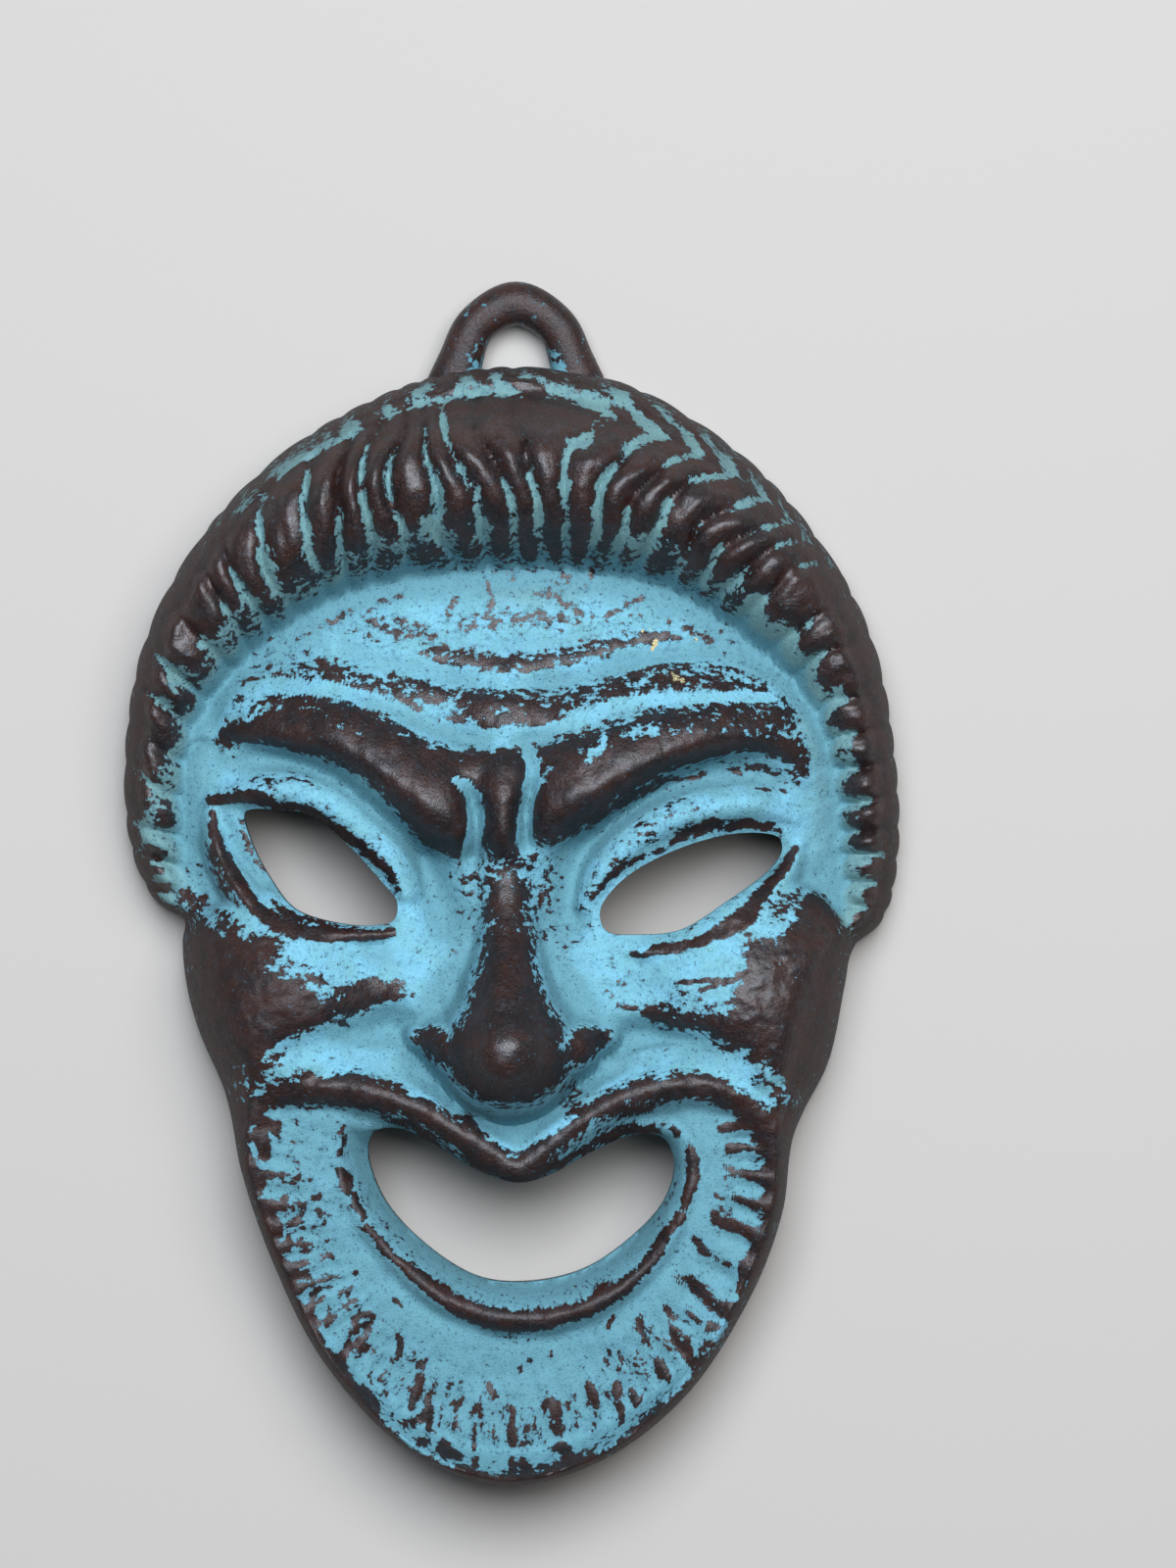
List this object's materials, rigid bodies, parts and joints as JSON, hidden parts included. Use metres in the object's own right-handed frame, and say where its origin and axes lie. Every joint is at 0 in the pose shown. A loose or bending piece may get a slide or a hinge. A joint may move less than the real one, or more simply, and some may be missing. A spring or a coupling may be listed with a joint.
{
  "type": "bronze mask",
  "caption": "Hollow cast bronze stage mask with a rolled band of hair, cut-out eyes, a wide open mouth in a fluted beard, and a ring on top to hang it by.",
  "frame": {"origin": "under the middle of the mask's plan, on the plane of its flat back rim", "axes": "+X to the viewer's right, +Y up the face towards the hanging ring, +Z out of the face. The mask lies on its back rim"},
  "size_m": [0.0799, 0.1233, 0.0305],
  "materials": {
    "patinated_bronze": "satin"
  },
  "bodies": {
    "root": {"mask": "patinated_bronze"}
  },
  "joints": []
}
